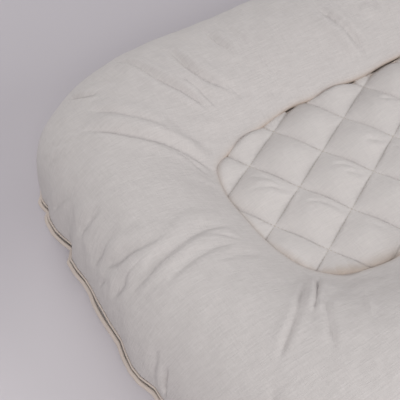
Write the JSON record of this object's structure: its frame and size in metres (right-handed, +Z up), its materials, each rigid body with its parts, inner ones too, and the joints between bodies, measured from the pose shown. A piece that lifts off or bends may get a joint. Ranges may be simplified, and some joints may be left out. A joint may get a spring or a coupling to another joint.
{
  "type": "infant lounger",
  "caption": "Oval infant lounger: a plump ring bumper round a sunken diamond-quilted panel, in a zipped cotton cover over a fibre insert.",
  "frame": {"origin": "on the floor under the middle of the lounger's plan", "axes": "+X along the lounger, away from the end that the zip runs round, +Y across it, +Z up"},
  "size_m": [0.76, 0.47, 0.105],
  "materials": {
    "bumper_cotton": "matte slub-woven cotton, undyed white",
    "quilt_cotton": "matte slub-woven cotton, undyed white, quilted",
    "lip_cotton": "matte folded cotton strip, cream",
    "zip_tape": "matte woven tape, cream",
    "zip_coil": "satin nylon, tan",
    "slider_metal": "satin zinc",
    "lining_cotton": "matte plain-woven cotton, white",
    "fibre": "loose polyester fibre, white"
  },
  "bodies": {
    "lounger": {"bumper_cover": "bumper_cotton", "quilt_face": "quilt_cotton", "quilt_wadding": "fibre", "quilt_backing": "lining_cotton", "panel_seam_binding": "lip_cotton", "base_cover": "bumper_cotton", "zip_lip_upper": "lip_cotton", "zip_lip_lower": "lip_cotton", "zip_tape_upper": "zip_tape", "zip_tape_lower": "zip_tape", "zip_coil_upper": "zip_coil", "zip_coil_lower": "zip_coil", "zip_top_stop": "zip_coil", "zip_bottom_stop": "zip_coil", "insert_top_lining": "lining_cotton", "insert_base_lining": "lining_cotton", "insert_baffle": "lining_cotton", "bumper_fill": "fibre", "centre_fill": "fibre"},
    "slider": {"zip_slider": "slider_metal"},
    "pull": {"zip_pull": "slider_metal"}
  },
  "joints": [
    {"name": "zip_slide", "type": "slide", "parent": "lounger", "child": "slider", "axis": [1, 0, 0], "range_m": [-0.2, 0]},
    {"name": "pull_turn", "type": "hinge", "parent": "slider", "child": "pull", "pos_m": [0.1012, -0.2319, 0.0275], "axis": [0, 0, 1], "range_deg": [0, 170]}
  ]
}
